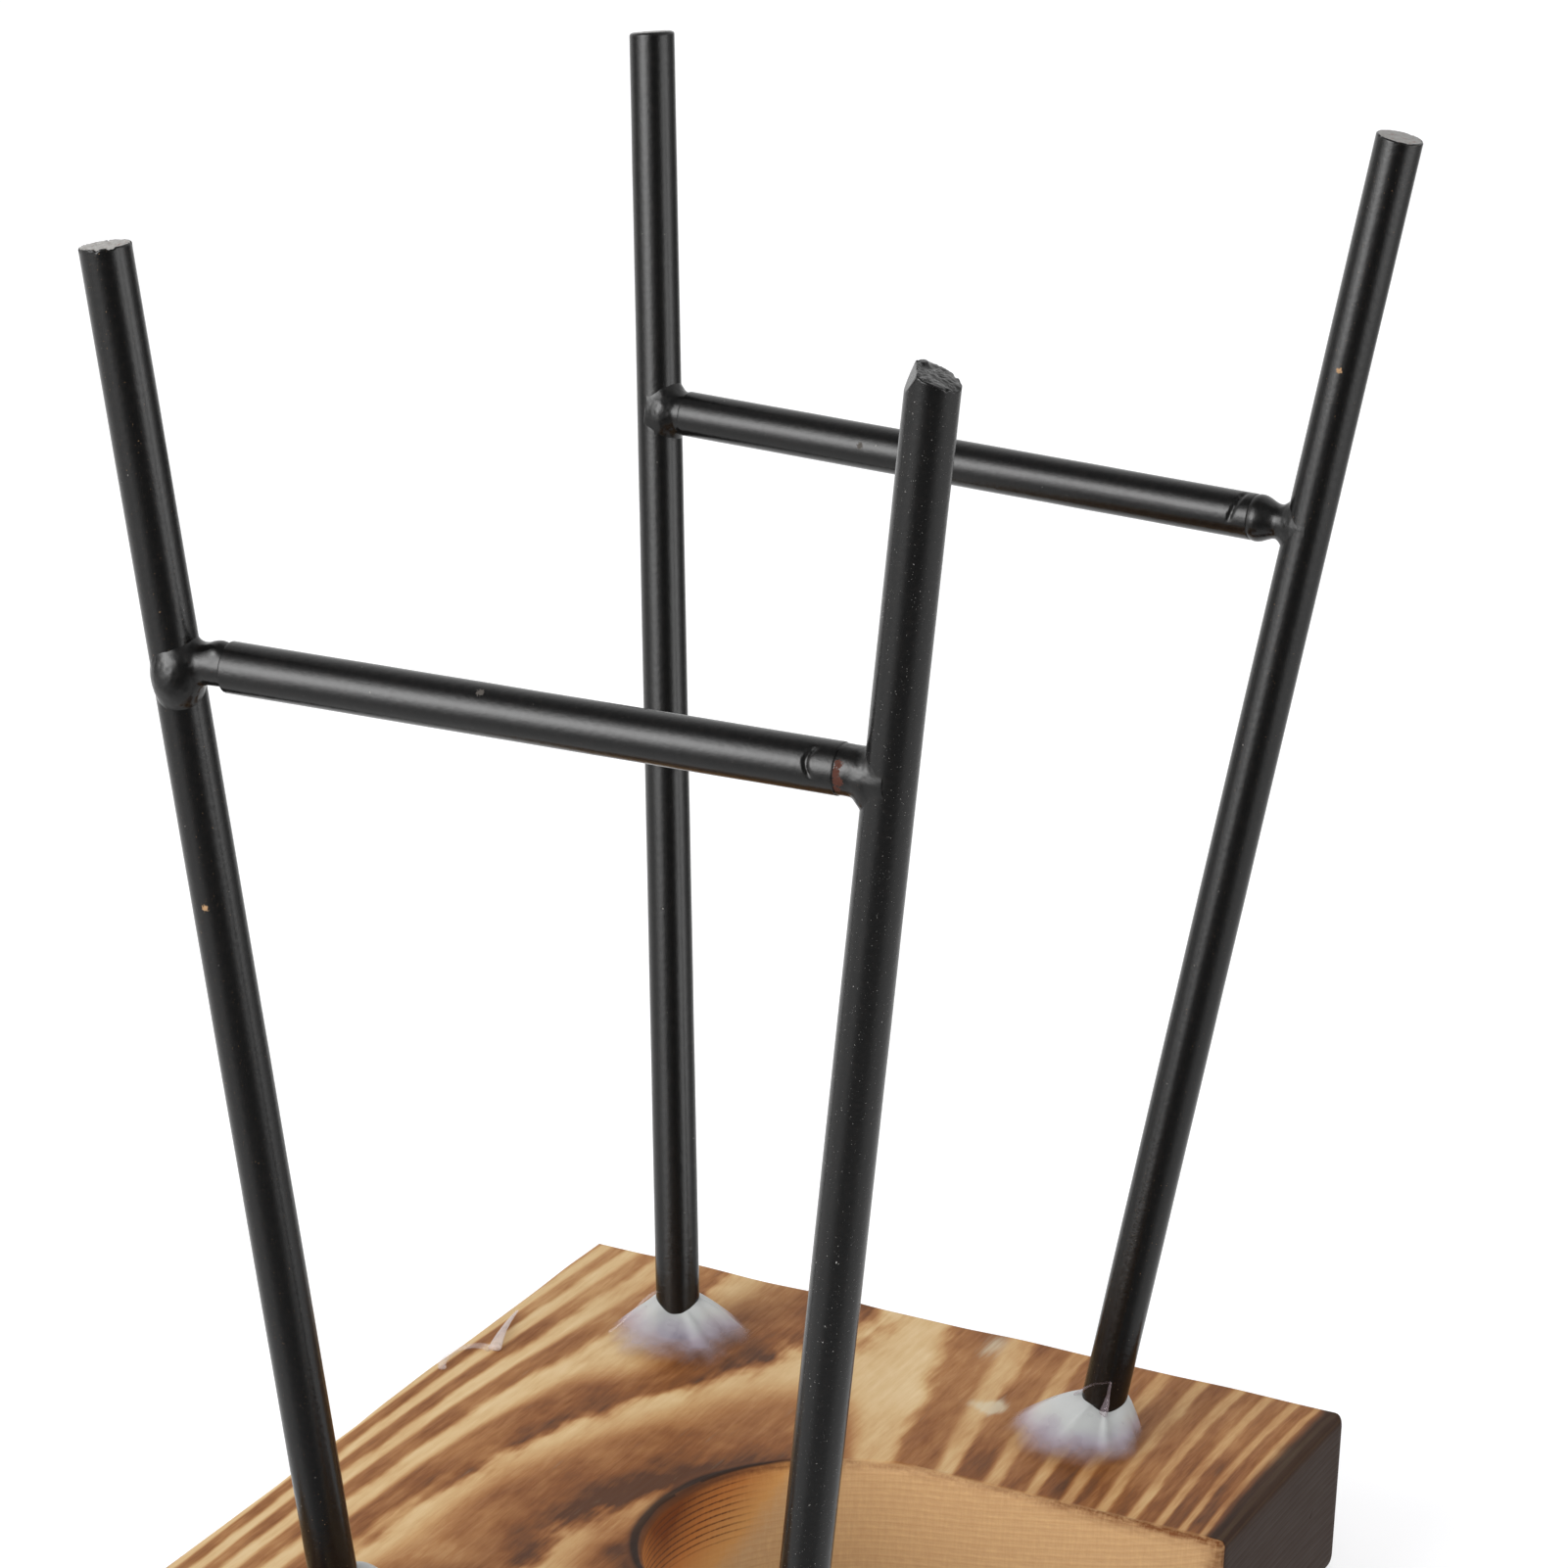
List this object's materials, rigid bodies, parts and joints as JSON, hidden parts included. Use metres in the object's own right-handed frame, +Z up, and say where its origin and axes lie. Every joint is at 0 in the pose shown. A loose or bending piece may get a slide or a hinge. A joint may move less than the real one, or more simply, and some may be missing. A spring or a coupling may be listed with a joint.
{
  "type": "vase stand",
  "caption": "Stand of a hydroponic vase: a scorched softwood board with a U-shaped slot for the vase's neck, and splayed black rods set in glue and joined by welded crossbars.",
  "frame": {"origin": "centre of the board's underside, which lies on Z = 0", "axes": "+Z up, from the board towards the rods' cut ends; +X towards the slot's open side; +Y towards the back frame"},
  "size_m": [0.1, 0.1271, 0.1748],
  "materials": {
    "scorched_wood": "bare softwood, scorched and brushed",
    "black_paint": "satin",
    "hot_glue": "milky, set from the melt"
  },
  "bodies": {
    "root": {"base_board": "scorched_wood", "rod_front_left": "black_paint", "rod_back_left": "black_paint", "rod_back_right": "black_paint", "rod_front_right": "black_paint", "crossbar_front": "black_paint", "crossbar_back": "black_paint", "weld_front_left": "black_paint", "weld_front_right": "black_paint", "weld_back_left": "black_paint", "weld_back_right": "black_paint", "glue_front_left": "hot_glue", "glue_back_left": "hot_glue", "glue_back_right": "hot_glue", "glue_front_right": "hot_glue", "glue_string": "hot_glue"}
  },
  "joints": []
}
